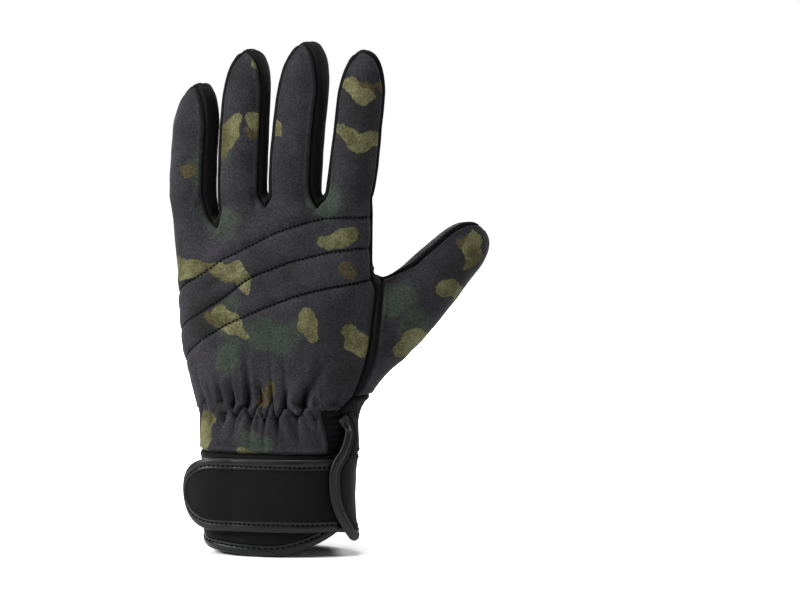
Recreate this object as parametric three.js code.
// A padded fishing glove for the left hand, in the form that a hand inside gives it.
// The fingers point up (+Z), the back of the hand faces -Y and the thumb leaves on the +X side.
// The origin is the middle of the wrist opening, level with the lowest point of the hem.
// Lengths are in millimetres and angles in degrees.
import * as THREE from "three";

// Cloth and seams
const wall = 2.2; // softshell laminate of the hand, fingers and thumb
const seamGap = 0.5; // clear line between two sewn pieces
const layerGap = 0.3; // clear space between two layers that lie on each other

// Wrist and cuff
const cuffHeight = 54; // hem to the seam under the gathers
const cuffWidth = 81;
const cuffDepth = 57;
const wristHeight = 23; // cuff seam to the elastic line
const wristWidth = 80.5; // at the elastic line
const wristDepth = 53;
const gatherDepth = 2; // how far the gathers stand in and out
const gatherReach = 14; // how far they run upwards from the elastic line

// Palm
const palmHeight = 113; // elastic line to the crotches of the long fingers
const palmWidth = 105.6;
const palmDepth = 44;
const littleWebDrop = 11.5; // the little finger's crotch lies this much lower
const webRounding = 10; // radius of the hand's edge between the fingers

// Fingers
const fingerLength = 82.6; // middle finger, crotch to tip
const fingerWidth = 28.4; // middle finger
const fingerDepthShare = 0.9; // depth of a finger as a share of its own width
const tipLength = 24; // rounded end of a finger

// Thumb
const thumbLength = 85.5;
const thumbWidth = 38;
const thumbDepthShare = 0.84;
const thumbTipLength = 22;
const thumbHoleFoot = 7; // foot of the thumb's seam above the elastic line
const thumbHoleHeight = 66;
const thumbStrip = 3.8; // black strip between the back panel and the thumb

// Strap, tape and print
const strapHeight = 39;
const strapThickness = 2.2;
const strapFoot = 13; // lower edge of the strap above the hem
const strapEndLift = 9.5; // the free end stands this far off the cuff
const tapeWidth = 5; // height of the folded tape along an edge
const tapeThickness = 3;
const gripThickness = 0.6;

// Small tools for points kept as three.js vectors
const point = (x, y, z) => new THREE.Vector3(x, y, z);
const radians = THREE.MathUtils.degToRad;
const mix = (a, b, t) => a + (b - a) * t;
const clamp01 = (t) => Math.min(1, Math.max(0, t));
const ease = (t) => clamp01(t) ** 2 * (3 - 2 * clamp01(t));
const steps = (from, to, count) => Array.from({ length: count + 1 }, (_, i) => mix(from, to, i / count));

// A smooth curve through the named column of a table, over the column that says where each row is.
function curveOf(rows, where, column, scale = 1, whereScale = 1, whereStart = 0) {
  const at = rows.map((row) => whereStart + row[where] * whereScale);
  const value = rows.map((row) => row[column] * scale);
  return joinRows(at, value);
}

function joinRows(at, value) {
  const last = at.length - 1;
  const slope = value.map((_, i) => {
    const low = Math.max(0, i - 1);
    const high = Math.min(last, i + 1);
    return (value[high] - value[low]) / (at[high] - at[low]);
  });
  return (x) => {
    if (x <= at[0]) return value[0];
    if (x >= at[last]) return value[last];
    const i = at.findIndex((edge) => edge > x) - 1;
    const span = at[i + 1] - at[i];
    const t = (x - at[i]) / span;
    const rise = value[i + 1] - value[i];
    const bend = t * (1 - t);
    return (
      mix(value[i], value[i + 1], t) +
      bend * ((1 - t) * (slope[i] * span - rise) - t * (slope[i + 1] * span - rise))
    );
  };
}

// Heights that several pieces share
const cuffTop = cuffHeight;
const elastic = cuffTop + wristHeight;
const innerWeb = elastic + palmHeight;
const littleWeb = innerWeb - littleWebDrop;
const notchDrop = webRounding / 2; // the panels' notches end this far under the crotch
const thumbHoleLow = elastic + thumbHoleFoot;
const thumbHoleHigh = thumbHoleLow + thumbHoleHeight;

// Sections of the hand as shares of the sizes above: the wrist's rows, then the palm's.
const wristSections = [
  { rise: 0.0, width: 1.053, depth: 1.06 },
  { rise: 0.3, width: 1.058, depth: 1.075 },
  { rise: 0.6, width: 1.04, depth: 1.05 },
  { rise: 0.9, width: 1.0, depth: 1.0 },
  { rise: 1.0, width: 1.0, depth: 1.0 },
];
const palmSections = [
  { rise: 0.04, width: 0.824, depth: 1.06 },
  { rise: 0.115, width: 0.89, depth: 1.1 },
  { rise: 0.19, width: 0.925, depth: 1.1 },
  { rise: 0.275, width: 0.962, depth: 1.08 },
  { rise: 0.45, width: 0.99, depth: 1.0 },
  { rise: 0.62, width: 0.995, depth: 0.9 },
  { rise: 0.83, width: 1.0, depth: 0.73 },
  { rise: 1.0, width: 1.0, depth: 0.59 },
];
const handRows = [
  { height: 0, width: cuffWidth, depth: cuffDepth },
  { height: cuffTop / 2, width: cuffWidth, depth: cuffDepth },
  ...wristSections.map((row) => ({
    height: cuffTop + row.rise * wristHeight,
    width: row.width * wristWidth,
    depth: row.depth * wristDepth,
  })),
  ...palmSections.map((row) => ({
    height: elastic + row.rise * palmHeight,
    width: row.width * palmWidth,
    depth: row.depth * palmDepth,
  })),
];
const handWidth = curveOf(handRows, "height", "width");
const handDepth = curveOf(handRows, "height", "depth");

// The hand leans towards the little finger: distance as a share of the palm's width.
const handLean = [
  { rise: 0.0, shift: -0.017 },
  { rise: 0.12, shift: -0.019 },
  { rise: 0.3, shift: -0.026 },
  { rise: 0.65, shift: -0.034 },
  { rise: 1.0, shift: -0.04 },
];
const handShift = curveOf(handLean, "rise", "shift", palmWidth, palmHeight, elastic);

// Fingers: place of the root and the tip as shares of the palm's width, sizes as shares of the middle finger's.
const fingers = [
  { name: "little", root: -0.458, tip: -0.422, bend: 2.2, length: 0.733, width: 0.885 },
  { name: "ring", root: -0.201, tip: -0.165, bend: 2.0, length: 0.951, width: 0.937 },
  { name: "middle", root: 0.07, tip: 0.138, bend: 1.5, length: 1.0, width: 1.0 },
  { name: "index", root: 0.342, tip: 0.424, bend: 0.65, length: 0.946, width: 0.908 },
];

// For the same fingers: where the middle line meets the wrist as a share of its width, and how far the side
// strips' seams lie from the middle of the finger's back, in degrees.
const fingerLines = [
  { wrist: -0.36, left: 98, right: 36 },
  { wrist: -0.14, left: 57, right: 53 },
  { wrist: 0.09, left: 57, right: 44 },
  { wrist: 0.31, left: 57, right: 80 },
];
fingers.forEach((finger, i) => Object.assign(finger, fingerLines[i]));
const fingerProfile = [
  { along: 0.0, size: 1.0 },
  { along: 0.25, size: 1.0 },
  { along: 0.6, size: 0.98 },
  { along: 0.8, size: 0.93 },
];
for (const finger of fingers) {
  finger.rootX = finger.root * palmWidth;
  finger.tipX = finger.tip * palmWidth;
  finger.wristX = finger.wrist * wristWidth;
  finger.reach = finger.length * fingerLength;
  finger.halfWidth = (finger.width * fingerWidth) / 2;
  finger.domeFoot = innerWeb + finger.reach - tipLength;
  finger.size = curveOf(fingerProfile, "along", "size", 1, finger.reach, innerWeb);
}
const fingerForward = 6; // the tips lean this far towards the palm
const fingerBack = 1.5; // the fingers' roots lie this far behind the hand's middle

// The middle line of a finger, and of its ray down through the hand to the cuff.
function fingerAxis(finger, z) {
  const up = clamp01((z - innerWeb) / finger.reach);
  const down = clamp01((innerWeb - z) / (innerWeb - cuffTop));
  const x = z > innerWeb ? mix(finger.rootX, finger.tipX, up ** finger.bend) : mix(finger.rootX, finger.wristX, down);
  return point(x, fingerForward * up * up - fingerBack, z);
}

// Signed distance, nearly, to an oval whose half axes are a and b (and c above the dome's foot).
function ovalDistance(x, y, z, a, b, c, power) {
  const [px, py, pz] = [Math.abs(x) / a, Math.abs(y) / b, Math.max(0, z) / c];
  const reach = Math.max(1e-4, (px ** power + py ** power + pz ** power) ** (1 / power));
  const slope = Math.hypot(
    (px / reach) ** (power - 1) / a,
    (py / reach) ** (power - 1) / b,
    (pz / reach) ** (power - 1) / c,
  );
  return (reach - 1) / slope;
}

function softUnion(a, b, radius) {
  const near = Math.max(0, radius - Math.abs(a - b)) / radius;
  return Math.min(a, b) - (near * near * radius) / 4;
}

const handPower = 2.5;
const fingerPower = 2.15;
const webLine = (fingers[0].rootX + fingers[1].rootX) / 2;

function handDistance(p) {
  const side = ovalDistance(p.x - handShift(p.z), p.y, 0, handWidth(p.z) / 2, handDepth(p.z) / 2, 1, handPower);
  const toLittle = ease((fingers[1].rootX - p.x) / (fingers[1].rootX - webLine));
  const top = p.z - (innerWeb - littleWebDrop * toLittle);
  return -softUnion(-side, -top, webRounding);
}

function fingerDistance(finger, p) {
  const axis = fingerAxis(finger, p.z);
  const a = finger.halfWidth * finger.size(p.z);
  return ovalDistance(p.x - axis.x, p.y - axis.y, p.z - finger.domeFoot, a, a * fingerDepthShare, tipLength, fingerPower);
}

// Thumb: a straight middle line from the ball of the thumb to the tip, with sections along it.
const thumbRoot = point(0.45 * palmWidth, 0.13 * palmDepth, elastic + 0.306 * palmHeight);
const thumbWay = point(0.677, 0.155, 0.722).normalize();
const thumbBackWay = point(0, -1, 0).addScaledVector(thumbWay, thumbWay.y).normalize();
const thumbUpWay = new THREE.Vector3().crossVectors(thumbBackWay, thumbWay);
const thumbFoot = -0.32 * thumbLength;
const thumbDome = thumbLength - thumbTipLength;
const thumbProfile = [
  { along: -0.3, size: 0.84 },
  { along: 0.0, size: 0.95 },
  { along: 0.22, size: 1.0 },
  { along: 0.42, size: 0.93 },
  { along: 0.62, size: 0.83 },
  { along: 0.76, size: 0.75 },
];
const thumbSize = curveOf(thumbProfile, "along", "size", thumbWidth / 2, thumbLength);

function thumbPlace(p) {
  const from = p.clone().sub(thumbRoot);
  return { along: from.dot(thumbWay), up: from.dot(thumbUpWay), back: from.dot(thumbBackWay) };
}

function thumbDistance(p) {
  const { along, up, back } = thumbPlace(p);
  const a = thumbSize(along);
  const past = along < thumbFoot ? thumbFoot - along : along - thumbDome;
  return ovalDistance(up, back, past, a, a * thumbDepthShare, thumbTipLength, fingerPower);
}

// The outer skin of the glove without its gathers: negative inside. The radii are those of the rounded inner corners.
const betweenFingers = 0.8;
const underFingers = 3.5;
const underThumb = 14;
function skin(p) {
  let hand = fingers.map((finger) => fingerDistance(finger, p)).reduce((a, b) => softUnion(a, b, betweenFingers));
  hand = softUnion(hand, handDistance(p), underFingers);
  return softUnion(hand, thumbDistance(p), underThumb);
}

function outward(p) {
  const h = 0.2;
  const slope = (dx, dy, dz) => skin(point(p.x + dx, p.y + dy, p.z + dz)) - skin(point(p.x - dx, p.y - dy, p.z - dz));
  return point(slope(h, 0, 0), slope(0, h, 0), slope(0, 0, h)).normalize();
}

// Walks from a point inside along a direction until the skin is reached.
const searchStep = 1.5;
function reachSkin(from, way) {
  let far = 0;
  const here = (t) => from.clone().addScaledVector(way, t);
  while (skin(here(far)) < 0) far += searchStep;
  let near = Math.max(0, far - searchStep);
  for (let i = 0; i < 18; i++) {
    const middle = (near + far) / 2;
    if (skin(here(middle)) < 0) near = middle;
    else far = middle;
  }
  return here(far);
}

// Rows of the cloth's grid. The hand's rows have one height for all fingers, and above the crotches each finger
// has its own.
const wristRows = 4;
const holeShares = [0, 0.12, 0.26, 0.42, 0.58, 0.73, 0.86, 0.95, 1];
const levels = [
  ...steps(cuffTop, elastic, wristRows),
  ...holeShares.map((share) => thumbHoleLow + share * thumbHoleHeight),
  ...steps(mix(thumbHoleHigh, littleWeb - notchDrop, 0.5), littleWeb - notchDrop, 1),
  innerWeb - notchDrop,
];
const row = {
  elastic: wristRows,
  holeLow: wristRows + 1,
  holeHigh: wristRows + holeShares.length,
  littleWeb: levels.length - 2,
  innerWeb: levels.length - 1,
};
const fingerShares = [0.16, 0.33, 0.55, 0.78, 1]; // rows between the crotch and the rounded end
const fingerSteps = fingerShares.length;
const domeTilts = [24, 46, 66, 86];
const lastRow = row.innerWeb + fingerSteps + domeTilts.length;

// Where a row starts on a finger's middle line, and how much it tilts towards the tip.
function station(finger, k) {
  if (k <= row.innerWeb) return { from: fingerAxis(finger, levels[k]), tilt: 0 };
  const share = fingerShares[Math.min(k - row.innerWeb, fingerSteps) - 1];
  const z = mix(levels[row.innerWeb], finger.domeFoot, share);
  const dome = k - row.innerWeb - fingerSteps;
  return { from: fingerAxis(finger, z), tilt: dome > 0 ? domeTilts[dome - 1] : 0 };
}

// Direction at an angle round a finger from the middle of its back (face -1) or front (face 1), towards the thumb.
function wayAt(angle, face, tilt = 0) {
  const flat = Math.cos(radians(tilt));
  return point(Math.sin(radians(angle)) * flat, face * Math.cos(radians(angle)) * flat, Math.sin(radians(tilt)));
}
const angleTo = (from, p, face) => THREE.MathUtils.radToDeg(Math.atan2(p.x - from.x, face * (p.y - from.y)));

// The hand's line between two neighbouring fingers, under their crotch.
const webs = [
  { name: "little_ring", left: fingers[0], right: fingers[1], notch: row.littleWeb },
  { name: "ring_middle", left: fingers[1], right: fingers[2], notch: row.innerWeb },
  { name: "middle_index", left: fingers[2], right: fingers[3], notch: row.innerWeb },
];
const webMiddle = (web, z) => fingerAxis(web.left, z).add(fingerAxis(web.right, z)).multiplyScalar(0.5);

// The edge that two columns share under the crotch, and each finger's own seam above it.
const seamTurn = 3; // the seam has reached its own angle this many rows above the crotch
function webEdge(web, finger, face) {
  const seam = finger === web.left ? finger.right : -finger.left;
  const root = station(finger, web.notch).from;
  const notch = reachSkin(webMiddle(web, levels[web.notch]), point(0, face, 0));
  const first = angleTo(root, notch, face);
  return (k) => {
    if (k <= web.notch) return reachSkin(webMiddle(web, levels[k]), point(0, face, 0));
    const { from, tilt } = station(finger, k);
    return reachSkin(from, wayAt(mix(first, seam, ease((k - web.notch) / seamTurn)), face, tilt));
  };
}

// An edge at an angle round a finger's ray.
const angleEdge = (finger, angleAt, face) => (k) => {
  const { from, tilt } = station(finger, k);
  return reachSkin(from, wayAt(angleAt(k), face, tilt));
};
const [little, ring, middle, index] = fingers;
const outerSeam = angleEdge(little, () => -little.left, -1);

// Lines beside the thumb, as distances from the middle of the glove over the height of the thumb's hole:
// the right edge of the back panel, and the hole's seam on the palm. Below the first row they keep its palm distance.
const thumbLines = [
  { rise: 0.0, back: 0.393, palm: 0.29 },
  { rise: 0.12, back: 0.429, palm: 0.26 },
  { rise: 0.26, back: 0.454, palm: 0.225 },
  { rise: 0.42, back: 0.472, palm: 0.2 },
  { rise: 0.58, back: 0.482, palm: 0.19 },
  { rise: 0.73, back: 0.49, palm: 0.2 },
  { rise: 0.86, back: 0.488, palm: 0.25 },
  { rise: 0.95, back: 0.468, palm: 0.35 },
];
const backLineX = curveOf(thumbLines, "rise", "back", palmWidth, thumbHoleHeight, thumbHoleLow);
const palmLineX = curveOf(thumbLines, "rise", "palm", palmWidth, thumbHoleHeight, thumbHoleLow);
const thumbSide = 5; // the lines' rays start this far on the palm's side of the middle
const footLean = 14; // at the hole's foot the rays towards the back lean this far outwards
const footReach = 25;
const sideAngle = 100; // where the strip beside the back panel ends above the thumb

function acrossBack(x, z) {
  const lean = footLean * (1 - ease((z - thumbHoleLow) / footReach));
  return reachSkin(point(x - lean, thumbSide, z), point(lean, -handDepth(z) / 2 + thumbSide, 0).normalize());
}
const sidePoint = angleEdge(index, () => sideAngle, -1);
const beside = (k) => k >= row.holeLow && k < row.holeHigh;
const indexSide = angleEdge(index, () => index.right, -1);
const holeBack = (k) => (beside(k) ? acrossBack(backLineX(levels[k]) + thumbStrip, levels[k]) : sidePoint(k));
const holePalm = (k) => {
  if (k >= row.holeHigh) return sidePoint(k);
  return reachSkin(point(palmLineX(levels[k]), thumbSide, levels[k]), point(0, 1, 0));
};

// The slit runs from the elastic line down to the cuff: angles round the wrist from the middle of the back.
// The back panel ends at its left side, and the flap's cloth begins at its right.
const slitLines = [
  { rise: 0.0, left: 56, right: 64.5 },
  { rise: 0.3, left: 55, right: 69 },
  { rise: 0.6, left: 53.5, right: 73 },
  { rise: 0.85, left: 52, right: 70 },
  { rise: 1.0, left: 52, right: 66 },
];
const slitLeft = curveOf(slitLines, "rise", "left", 1, wristHeight, cuffTop);
const slitRight = curveOf(slitLines, "rise", "right", 1, wristHeight, cuffTop);
const aroundWrist = (angle, z) => reachSkin(point(handShift(z), 0, z), wayAt(angle, -1));
const wristSide = 96; // the flap's lift has faded out here
const tapeLift = tapeThickness + 4 * layerGap + (wall + tapeThickness) / 2; // the flap's bound edge over the strap
const tapeSettle = 0.38; // share of that lift left where the bound edge meets the gathers
const settleRise = 0.76; // share of the wrist's height by which it has settled

// How far the flap stands off at an angle round the wrist: most at its bound edge, none at the wrist's side.
function flapLift(angle, z, edgeAngle) {
  const fade = ease((wristSide - angle) / (wristSide - edgeAngle));
  return tapeLift * mix(1, tapeSettle, clamp01((z - cuffTop) / (settleRise * wristHeight))) * fade;
}
const lifted = (p, lift) => p.clone().addScaledVector(outward(p), lift);
const indexSeam = (k) => {
  if (k <= row.elastic) return aroundWrist(slitRight(levels[k]), levels[k]);
  return beside(k) ? acrossBack(backLineX(levels[k]), levels[k]) : indexSide(k);
};
const indexMiddle = angleEdge(index, () => 0, -1);
const slitSide = (k) => (k <= row.elastic ? aroundWrist(slitLeft(levels[k]), levels[k]) : indexMiddle(k));
const wristEnd = (k) => (k < row.holeLow ? aroundWrist(wristSide, levels[k]) : holeBack(k));

// A column of cloth between two edges, as rows of points on the skin seen from a finger's middle line.
// Every second point across is marked, for the gathers.
function column(finger, face, leftEdge, rightEdge, cells, fromRow = 0, toRow = lastRow) {
  const rows = [];
  for (let k = fromRow; k <= toRow; k++) {
    const { from, tilt } = station(finger, k);
    const [left, right] = [leftEdge(k), rightEdge(k)];
    const [start, end] = [angleTo(from, left, face), angleTo(from, right, face)];
    const points = steps(0, 1, cells).map((u, i) => {
      const p = u === 0 ? left : u === 1 ? right : reachSkin(from, wayAt(mix(start, end, u), face, tilt));
      p.marked = i % 2 === 1;
      return p;
    });
    rows.push(face > 0 ? points.reverse() : points);
  }
  return rows;
}

// Joins grids of points into one sheet with shared corners. Seen from outside, each cell runs the same way round.
function sheetOf(grids) {
  const places = [];
  const known = new Map();
  const cells = [];
  const indexOf = (p) => {
    const key = [p.x, p.y, p.z].map((v) => Math.round(v * 200)).join();
    if (!known.has(key)) known.set(key, places.push(Object.assign(p.clone(), { marked: p.marked })) - 1);
    return known.get(key);
  };
  for (const grid of grids)
    for (let r = 0; r + 1 < grid.length; r++)
      for (let c = 0; c + 1 < grid[r].length; c++) {
        const corners = [grid[r][c], grid[r][c + 1], grid[r + 1][c + 1], grid[r + 1][c]].map(indexOf);
        const cell = corners.filter((corner, i) => corner !== corners[(i + 1) % 4]);
        if (cell.length > 2) cells.push(cell);
      }
  return { places, cells, rim: rimOf(cells) };
}

// The sheet's open edges, each in the direction of its cell.
function rimOf(cells) {
  const seen = new Set(cells.flatMap((cell) => cell.map((a, i) => a + "," + cell[(i + 1) % cell.length])));
  return [...seen].map((edge) => edge.split(",").map(Number)).filter(([a, b]) => !seen.has(b + "," + a));
}

// Draws the sheet's open edges in, so that a seam line stays clear beside them.
function drawIn(sheet, distance, normals) {
  const inward = new Map();
  for (const [a, b] of sheet.rim) {
    const along = sheet.places[b].clone().sub(sheet.places[a]).normalize();
    for (const corner of [a, b]) {
      const into = new THREE.Vector3().crossVectors(normals[corner], along);
      inward.set(corner, (inward.get(corner) ?? point(0, 0, 0)).add(into));
    }
  }
  for (const [corner, into] of inward) sheet.places[corner].addScaledVector(into.normalize(), distance);
}

// A closed piece of cloth: the sheet from the height "under" to the height "over" above the surface it follows.
function clothOf(sheet, under, over, { normalAt = outward, liftAt = () => 0, inset = seamGap / 2 } = {}) {
  drawIn(sheet, inset, sheet.places.map(normalAt));
  const normals = sheet.places.map(normalAt);
  const lifts = sheet.places.map(liftAt);
  const layer = (height) => sheet.places.map((p, i) => p.clone().addScaledVector(normals[i], height + lifts[i]));
  const corners = [...layer(over), ...layer(under)].flatMap((p) => [p.x, p.y, p.z]);
  const half = sheet.places.length;
  const faces = [];
  const fan = (cell) => {
    for (let i = 1; i + 1 < cell.length; i++) faces.push(cell[0], cell[i], cell[i + 1]);
  };
  for (const cell of sheet.cells) {
    fan(cell);
    fan(cell.map((corner) => corner + half).reverse());
  }
  // Both pieces at a seam split the faces between their layers the same way, from the higher corner.
  for (const [a, b] of sheet.rim) {
    if (sheet.places[a].z > sheet.places[b].z) fan([a, a + half, b + half, b]);
    else fan([b, a, a + half, b + half]);
  }
  const geometry = new THREE.BufferGeometry();
  geometry.setAttribute("position", new THREE.Float32BufferAttribute(corners, 3));
  geometry.setIndex(faces);
  geometry.computeVertexNormals();
  return geometry;
}

// Gathers: neighbouring points of the grid stand in and out by turns beside the elastic line, less so beside the slit.
const calmFrom = 30; // angles round the wrist where the gathers fade, towards the slit
const calmTo = 52;
const gathersFrom = 110; // and where they have come back, under the thumb
const gathersBy = 130;
const calmShare = 0.85;
function gatherHeight(p) {
  const rise = p.z - elastic;
  const reach = rise / (rise > 0 ? gatherReach : gatherReach / 2);
  const angle = angleTo(point(handShift(p.z), 0, 0), p, -1);
  const fading = ease((angle - calmFrom) / (calmTo - calmFrom));
  const calm = fading * ease((gathersBy - angle) / (gathersBy - gathersFrom));
  return gatherDepth * Math.exp(-reach * reach) * (1 - calmShare * calm);
}
const ridgeShare = 0.75; // ridges stand out less than the furrows go in
const gatherLift = (p) => gatherHeight(p) * (p.marked ? ridgeShare : -1);

// Colours and finishes
const cloth = (name, color, roughness) => new THREE.MeshStandardMaterial({ name, color, roughness, metalness: 0 });
const printedCloth = cloth("printed softshell", 0x2b2a2e, 0.9);
const blackCloth = cloth("black softshell", 0x17181a, 0.85);
const neoprene = cloth("black neoprene", 0x111214, 0.8);
const tape = cloth("folded tape", 0x1b1d1f, 0.55);
const silicone = cloth("printed silicone", 0x1d1d1d, 0.4);

const glove = new THREE.Group();
function add(name, geometry, material) {
  const mesh = new THREE.Mesh(geometry, material);
  mesh.name = name;
  glove.add(mesh);
}

// Back panel: a column for each finger, and one more beside the slit that ends at the elastic line.
const backEdge = (web, finger) => webEdge(web, finger, -1);
const acrossFinger = 6;
const backSheet = sheetOf([
  column(little, -1, outerSeam, backEdge(webs[0], little), acrossFinger),
  column(ring, -1, backEdge(webs[0], ring), backEdge(webs[1], ring), acrossFinger),
  column(middle, -1, backEdge(webs[1], middle), backEdge(webs[2], middle), acrossFinger),
  column(index, -1, backEdge(webs[2], index), slitSide, acrossFinger / 2),
  column(index, -1, slitSide, indexSeam, acrossFinger / 2, row.elastic),
]);
add("back_panel", clothOf(backSheet, -wall, 0, { liftAt: gatherLift }), printedCloth);

// Palm panel: a column for each finger, the wrist under the thumb, the strip beside the back panel, and the flap at
// the slit.
const palmEdge = (web, finger) => webEdge(web, finger, 1);
const acrossStrip = 3;
const underThumbCells = 4;
const flap = column(index, -1, indexSeam, wristEnd, acrossStrip, 0, row.holeLow).map((points, k) =>
  points.map((p) => {
    if (k >= row.elastic) return p;
    const angle = angleTo(point(handShift(p.z), 0, 0), p, -1);
    return Object.assign(lifted(p, flapLift(angle, p.z, slitRight(p.z))), { marked: p.marked });
  }),
);
const palmSheet = sheetOf([
  column(little, 1, outerSeam, palmEdge(webs[0], little), acrossFinger),
  column(ring, 1, palmEdge(webs[0], ring), palmEdge(webs[1], ring), acrossFinger),
  column(middle, 1, palmEdge(webs[1], middle), palmEdge(webs[2], middle), acrossFinger),
  column(index, 1, palmEdge(webs[2], index), holePalm, acrossFinger),
  column(index, 1, holePalm, wristEnd, underThumbCells, 0, row.holeLow),
  column(index, -1, indexSeam, holeBack, acrossStrip, row.holeLow),
  flap,
]);
add("palm_panel", clothOf(palmSheet, -wall, 0, { liftAt: gatherLift }), blackCloth);

// Side strips: up one finger's side, over the crotch and up its neighbour's side.
const webRootDepth = 14; // the strip's middle row is seen from a point this far under the crotch
const sideCells = 3;
function sideStrip(web) {
  const rows = [];
  const addRow = (finger, k) => {
    const back = webEdge(web, finger, -1)(k);
    const front = webEdge(web, finger, 1)(k);
    const under = webMiddle(web, levels[web.notch] + notchDrop - webRootDepth);
    const from = k === web.notch ? under : station(finger, k).from;
    const [toBack, toFront] = [back, front].map((p) => p.clone().sub(from).normalize());
    const points = steps(0, 1, sideCells).map((u) => {
      if (u === 0) return back;
      if (u === 1) return front;
      return reachSkin(from, toBack.clone().lerp(toFront, u).normalize());
    });
    rows.push(points.reverse());
  };
  for (let k = lastRow; k >= web.notch; k--) addRow(web.left, k);
  for (let k = web.notch + 1; k <= lastRow; k++) addRow(web.right, k);
  return rows;
}
for (const web of webs) {
  add("fourchette_" + web.name, clothOf(sheetOf([sideStrip(web)]), -wall, 0), blackCloth);
}

// Thumb: its first row lies on the seam round the hole, the others are sections up to the tip.
const thumbUpperSeam = 48; // angle from the thumb's back towards its upper side
const thumbLowerSeam = 248; // the same way on round, to its lower side
const thumbSteps = 6;
const turnSlack = 20; // the loop's angles may step back this much before they count as a new turn
const thumbTurn = 0.6; // the columns have turned to their place at the tip by this share of the length
const holeRows = levels.map((_, k) => k).slice(row.holeLow, row.holeHigh + 1);
const holeFoot = column(index, 1, holePalm, wristEnd, underThumbCells, row.holeLow, row.holeLow)[0].slice(1, -1);
const holeLoop = [
  ...holeRows.map(holeBack),
  ...holeRows.slice(0, -1).reverse().map(holePalm),
  ...holeFoot.reverse(),
];
let turned = -180;
const thumbColumns = holeLoop.map((p) => {
  const { along, up, back } = thumbPlace(p);
  let angle = THREE.MathUtils.radToDeg(Math.atan2(up, back));
  while (angle < turned - turnSlack) angle += 360;
  turned = angle;
  return { p, along, angle };
});

function thumbWayAt(angle, tilt = 0) {
  const flat = Math.cos(radians(tilt));
  return thumbBackWay
    .clone()
    .multiplyScalar(Math.cos(radians(angle)) * flat)
    .addScaledVector(thumbUpWay, Math.sin(radians(angle)) * flat)
    .addScaledVector(thumbWay, Math.sin(radians(tilt)));
}

// A thumb panel from one column of the loop to another, whose seams have the given angles near the tip.
function thumbPanel(first, last, fromAngle, toAngle) {
  const columns = [];
  for (let i = first; i <= last; i++) {
    const start = thumbColumns[i % thumbColumns.length];
    const lap = 360 * Math.floor(i / thumbColumns.length);
    const end = mix(fromAngle, toAngle, (i - first) / (last - first));
    columns.push({ ...start, angle: start.angle + lap, end });
  }
  const rows = steps(0, 1, thumbSteps).map((t) =>
    columns.map((c) => {
      if (t === 0) return c.p;
      const from = thumbRoot.clone().addScaledVector(thumbWay, mix(c.along, thumbDome, t));
      return reachSkin(from, thumbWayAt(mix(c.angle, c.end, ease(t / thumbTurn))));
    }),
  );
  const dome = thumbRoot.clone().addScaledVector(thumbWay, thumbDome);
  for (const tilt of domeTilts) rows.push(columns.map((c) => reachSkin(dome, thumbWayAt(c.end, tilt))));
  return rows.map((points) => points.reverse());
}
const upperColumn = 8; // columns of the loop at the two seams
const lowerColumn = 17;
const thumbBack = thumbPanel(lowerColumn, upperColumn + thumbColumns.length, thumbLowerSeam, thumbUpperSeam + 360);
const thumbFront = thumbPanel(upperColumn, lowerColumn, thumbUpperSeam, thumbLowerSeam);
const thumbInset = 0.6; // its edges bend more than the others, so they are drawn in further
add("thumb_back", clothOf(sheetOf([thumbBack]), -wall, 0, { inset: thumbInset }), printedCloth);
add("thumb_front", clothOf(sheetOf([thumbFront]), -wall, 0, { inset: thumbInset }), blackCloth);

// Slit: a wedge of smooth cloth between the back panel and the flap.
const gussetFoot = 0.12; // shares of the wrist's height
const gussetTop = 0.92;
const gussetDepth = 0.8; // it lies this far under the skin
const gussetWall = 1.3;
const gussetRows = steps(gussetFoot, gussetTop, wristRows).map((share) => {
  const z = cuffTop + share * wristHeight;
  return steps(slitLeft(z), slitRight(z), 3).map((angle) => aroundWrist(angle, z));
});
add(
  "vent_gusset",
  clothOf(sheetOf([gussetRows]), -gussetDepth - gussetWall, -gussetDepth, { inset: seamGap }),
  blackCloth,
);

// Cuff: one band that starts at the flap's bound edge over the slit, runs round by the thumb's side, the palm and
// the little finger's side to the back, and ends under its own flap. Angles run on past 360 on the inner layer.
const cuffEnd = 426;
const cuffEdge = [
  { rise: 0.1, angle: 80 },
  { rise: 0.17, angle: 76 },
  { rise: 0.31, angle: 68 },
  { rise: 0.42, angle: 63.5 },
  { rise: 0.57, angle: 60 },
  { rise: 0.7, angle: 59 },
  { rise: 0.86, angle: 59.5 },
  { rise: 1.0, angle: 64.5 },
];
const cuffStart = curveOf(cuffEdge, "rise", "angle", 1, cuffHeight);
const hemTable = [
  { angle: 72, rise: 0.139 },
  { angle: 90, rise: 0.148 },
  { angle: 180, rise: 0.074 },
  { angle: 262, rise: 0.102 },
  { angle: 300, rise: 0.037 },
  { angle: 345, rise: 0 },
  { angle: 375, rise: 0.009 },
  { angle: 400, rise: 0.093 },
  { angle: 426, rise: 0.241 },
];
const hem = curveOf(hemTable, "angle", "rise", cuffHeight);
const cuffRows = 4;
const cuffCells = 30;
const cuffTries = 4; // angle and height depend on each other, so both are found in turns

function cuffPoint(angle, z) {
  const p = aroundWrist(angle, z);
  return angle < wristSide ? lifted(p, flapLift(angle, z, cuffStart(z))) : p;
}
function cuffPlace(u, v) {
  let z = mix(tapeWidth, cuffTop, v);
  let angle = 0;
  for (let i = 0; i < cuffTries; i++) {
    angle = mix(cuffStart(z), cuffEnd, u);
    z = mix(hem(angle) + tapeWidth, cuffTop, v);
  }
  return cuffPoint(angle, z);
}
const cuffGrid = steps(0, 1, cuffRows).map((v) => steps(0, 1, cuffCells).map((u) => cuffPlace(u, v)));
add("cuff", clothOf(sheetOf([cuffGrid]), -wall, 0), neoprene);

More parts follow.
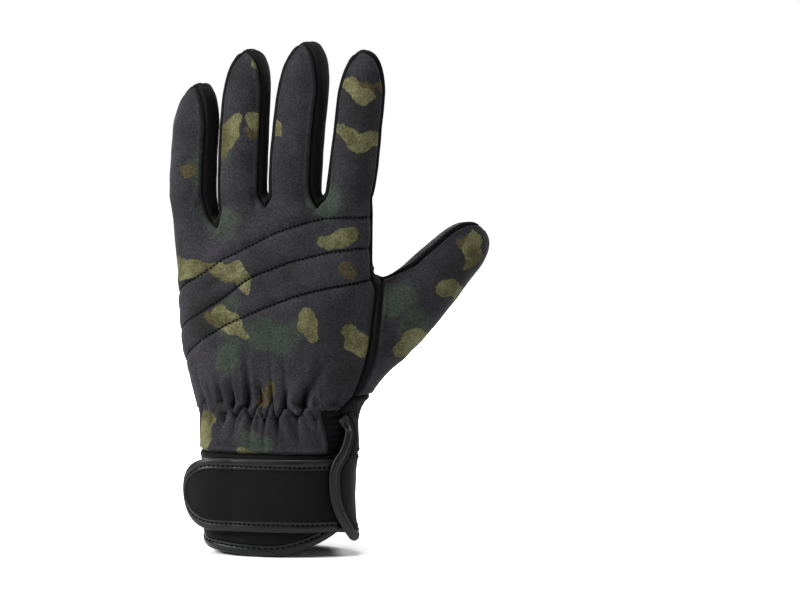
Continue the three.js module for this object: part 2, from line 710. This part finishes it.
// Folded tape: sweeps a rounded section along the edge of a piece of cloth, on the outside of the edge.
const tapeSection = [
  { across: -0.5, out: 0.2 },
  { across: -0.5, out: 0.7 },
  { across: 0, out: 1 },
  { across: 0.5, out: 0.7 },
  { across: 0.5, out: 0.2 },
  { across: 0, out: 0 },
];
function tapeAlong(path, middle) {
  const ring = tapeSection.length;
  const corners = [];
  path.forEach((p, i) => {
    const along = path[Math.min(i + 1, path.length - 1)].clone().sub(path[Math.max(i - 1, 0)]).normalize();
    const normal = outward(p);
    const away = new THREE.Vector3().crossVectors(along, normal).normalize();
    for (const { across, out } of tapeSection) {
      const q = p.clone().addScaledVector(normal, middle + across * tapeThickness);
      q.addScaledVector(away, layerGap + out * (tapeWidth - layerGap));
      corners.push(q.x, q.y, q.z);
    }
  });
  const faces = [];
  for (let i = 0; i + 1 < path.length; i++)
    for (let j = 0; j < ring; j++) {
      const [a, b] = [i * ring + j, i * ring + ((j + 1) % ring)];
      faces.push(a, a + ring, b + ring, a, b + ring, b);
    }
  const last = (path.length - 1) * ring;
  for (let j = 1; j + 1 < ring; j++) faces.push(0, j, j + 1, last, last + j + 1, last + j);
  const geometry = new THREE.BufferGeometry();
  geometry.setAttribute("position", new THREE.Float32BufferAttribute(corners, 3));
  geometry.setIndex(faces);
  geometry.computeVertexNormals();
  return geometry;
}

// The edge tape runs down the flap's bound edge from the elastic line, round its corner and along the hem.
const tapeTop = 0.9; // share of the wrist's height
const slitEdge = [cuffTop + tapeTop * wristHeight, ...levels.slice(0, row.elastic).reverse()].map((z) => {
  const angle = slitRight(z);
  return lifted(aroundWrist(angle, z), flapLift(angle, z, angle));
});
const cuffEdgeShares = { top: 0.86, foot: 0.12, cells: 6 }; // shares of the cuff's height on the bound edge
const boundEdge = [
  ...slitEdge,
  ...steps(cuffEdgeShares.top, cuffEdgeShares.foot, cuffEdgeShares.cells).map((v) => cuffPlace(0, v)),
  cuffPlace(0, 0),
];
const hemStart = 0.02; // share of the cuff's length, just past its corner
const hemEdge = steps(hemStart, 1, cuffCells + 4).map((u) => cuffPlace(u, 0));
add("edge_binding", tapeAlong([...boundEdge, ...hemEdge], -wall / 2), tape);

// Strap: comes out from under the bound flap, lies on the back of the cuff and leaves it at its free round end.
const strapRoot = 61; // angles round the wrist
const strapLeaves = -34;
const strapTip = -77;
const strapFreePower = 1.3;
const strapMiddle = strapFoot + strapHeight / 2;
const strapRise = 2 * layerGap + tapeThickness / 2; // middle of the strap over the cuff
const strapHalf = strapHeight / 2 - tapeWidth; // cloth inside the tape

function strapPlace(angle, z) {
  const free = clamp01((strapLeaves - angle) / (strapLeaves - strapTip));
  return lifted(aroundWrist(angle, z), strapRise + strapEndLift * free ** strapFreePower);
}
// The cloth's round end: a half circle that starts this many degrees before the tip.
const strapBow = 21;
const tapeAngle = 6; // degrees that the tape takes up beyond the cloth
const strapEnd = strapTip + tapeAngle;
const bowShares = [0.35, 0.62, 0.82, 0.95, 1];
const bluntness = 0.012; // keeps the very end from closing to a point
const bowRise = (angle) => {
  const past = clamp01((strapEnd + strapBow - angle) / strapBow);
  return Math.sqrt(Math.max(bluntness, 1 - past ** 2));
};
const strapAngles = [
  ...steps(strapRoot, strapEnd + strapBow, 9),
  ...bowShares.map((t) => strapEnd + strapBow * (1 - t)),
];
const strapEdge = (side) =>
  strapAngles.map((angle) => strapPlace(angle, strapMiddle + side * strapHalf * bowRise(angle)));
const strapRows = steps(-1, 1, 4).map((side) => strapEdge(side).reverse());
add("strap", clothOf(sheetOf([strapRows]), -strapThickness / 2, strapThickness / 2, { inset: 0 }), neoprene);
add("strap_binding", tapeAlong([...strapEdge(1), ...strapEdge(-1).reverse()], 0), tape);

// Printed grip: thin patches on the palm's side. Each is drawn flat, seen from the palm, and laid on the skin.
const gripUnder = 0.55; // the print's underside over the smooth skin, clear of the cloth's flat faces
const onRidges = (p) => ridgeShare * gatherHeight(p);
function addGrip(name, ...grids) {
  const geometry = clothOf(sheetOf(grids), gripUnder, gripUnder + gripThickness, { inset: 0, liftAt: onRidges });
  add("grip_" + name, geometry, silicone);
}

// Outline of a patch with round ends: width at shares of its length.
const stadium = [
  { rise: 0.0, width: 0.42 },
  { rise: 0.09, width: 0.82 },
  { rise: 0.24, width: 1.0 },
  { rise: 0.5, width: 1.0 },
  { rise: 0.76, width: 1.0 },
  { rise: 0.91, width: 0.82 },
  { rise: 1.0, width: 0.42 },
];

// Two patches on each finger: middle and sizes as shares of the finger's own length and width.
const fingerGrips = [
  { finger: little, part: "tip", rise: 0.585, length: 0.4, width: 0.4 },
  { finger: little, part: "base", rise: 0.12, length: 0.36, width: 0.42 },
  { finger: ring, part: "tip", rise: 0.63, length: 0.36, width: 0.48 },
  { finger: ring, part: "base", rise: 0.2, length: 0.33, width: 0.52 },
  { finger: middle, part: "tip", rise: 0.59, length: 0.35, width: 0.54 },
  { finger: middle, part: "base", rise: 0.2, length: 0.32, width: 0.53 },
  { finger: index, part: "tip", rise: 0.68, length: 0.355, width: 0.56 },
  { finger: index, part: "base", rise: 0.25, length: 0.32, width: 0.54 },
];
for (const { finger, part, rise, length, width } of fingerGrips) {
  const foot = innerWeb + (rise - length / 2) * finger.reach;
  const grid = stadium.map((edge) => {
    const axis = fingerAxis(finger, foot + edge.rise * length * finger.reach);
    const half = width * finger.halfWidth * edge.width;
    return steps(half, -half, 3).map((side) => reachSkin(point(axis.x + side, axis.y, axis.z), point(0, 1, 0)));
  });
  addGrip(finger.name + "_" + part, grid);
}

// The thumb's patch: middle and sizes as shares of the thumb's length and width.
const thumbGrip = { along: 0.7, length: 0.35, width: 0.36 };
const thumbFrontWay = thumbBackWay.clone().negate();
const thumbGripGrid = stadium.map((edge) => {
  const along = (thumbGrip.along + (edge.rise - 0.5) * thumbGrip.length) * thumbLength;
  const half = (thumbGrip.width * thumbWidth * edge.width) / 2;
  return steps(half, -half, 3).map((side) => {
    const from = thumbRoot.clone().addScaledVector(thumbWay, along).addScaledVector(thumbUpWay, side);
    return reachSkin(from, thumbFrontWay);
  });
});
addGrip("thumb_tip", thumbGripGrid.reverse());

// The patch on the ball of the thumb, from the palm's side outwards: its lower and upper ends as shares of the
// palm's width from the middle and of the palm's height from the elastic line.
const ballGrip = [
  { lowX: 0.262, lowZ: 0.28, highX: 0.25, highZ: 0.46 },
  { lowX: 0.3, lowZ: 0.245, highX: 0.262, highZ: 0.487 },
  { lowX: 0.4, lowZ: 0.32, highX: 0.35, highZ: 0.52 },
  { lowX: 0.51, lowZ: 0.425, highX: 0.455, highZ: 0.555 },
  { lowX: 0.605, lowZ: 0.505, highX: 0.55, highZ: 0.58 },
  { lowX: 0.63, lowZ: 0.53, highX: 0.595, highZ: 0.57 },
];
const layOnPalm = (x, z) => reachSkin(point(x * palmWidth, thumbSide, elastic + z * palmHeight), point(0, 1, 0));
addGrip(
  "thumb_ball",
  ballGrip.map((edge) =>
    steps(0, 1, 4).map((t) => layOnPalm(mix(edge.lowX, edge.highX, t), mix(edge.lowZ, edge.highZ, t))),
  ),
);

// The large print: its left and right edges in the same shares, and four lobes on top under the fingers.
const palmPrint = [
  { rise: 0.05, little: -0.24, thumb: 0.2 },
  { rise: 0.12, little: -0.35, thumb: 0.215 },
  { rise: 0.19, little: -0.415, thumb: 0.178 },
  { rise: 0.28, little: -0.438, thumb: 0.143 },
  { rise: 0.4, little: -0.44, thumb: 0.128 },
  { rise: 0.51, little: -0.44, thumb: 0.142 },
  { rise: 0.58, little: -0.44, thumb: 0.18 },
  { rise: 0.655, little: -0.44, thumb: 0.27 },
  { rise: 0.71, little: -0.44, thumb: 0.375 },
  { rise: 0.765, little: -0.44, thumb: 0.41 },
  { rise: 0.83, little: -0.44, thumb: 0.41 },
];
const printColumns = 14;
const printRows = palmPrint.map((edge) =>
  steps(edge.thumb, edge.little, printColumns).map((x) => layOnPalm(x, edge.rise)),
);
const lobes = [
  { from: 0, top: 0.915 },
  { from: 4, top: 0.955 },
  { from: 9, top: 0.945 },
  { from: 12, top: 0.862 },
];
const lobeShape = [
  { rise: 0.55, width: 1.0 },
  { rise: 0.87, width: 0.8 },
  { rise: 1.0, width: 0.4 },
];
const topEdge = palmPrint[palmPrint.length - 1];
const lobeGrids = lobes.map(({ from, top }) => {
  const [right, left] = [from, from + 2].map((i) => mix(topEdge.thumb, topEdge.little, i / printColumns));
  const rows = lobeShape.map(({ rise, width }) => {
    const half = ((right - left) / 2) * width;
    const x = (right + left) / 2;
    return steps(x + half, x - half, 2).map((place) => layOnPalm(place, mix(topEdge.rise, top, rise)));
  });
  return [printRows[printRows.length - 1].slice(from, from + 3), ...rows];
});
addGrip("palm", printRows, ...lobeGrids);

export default glove;
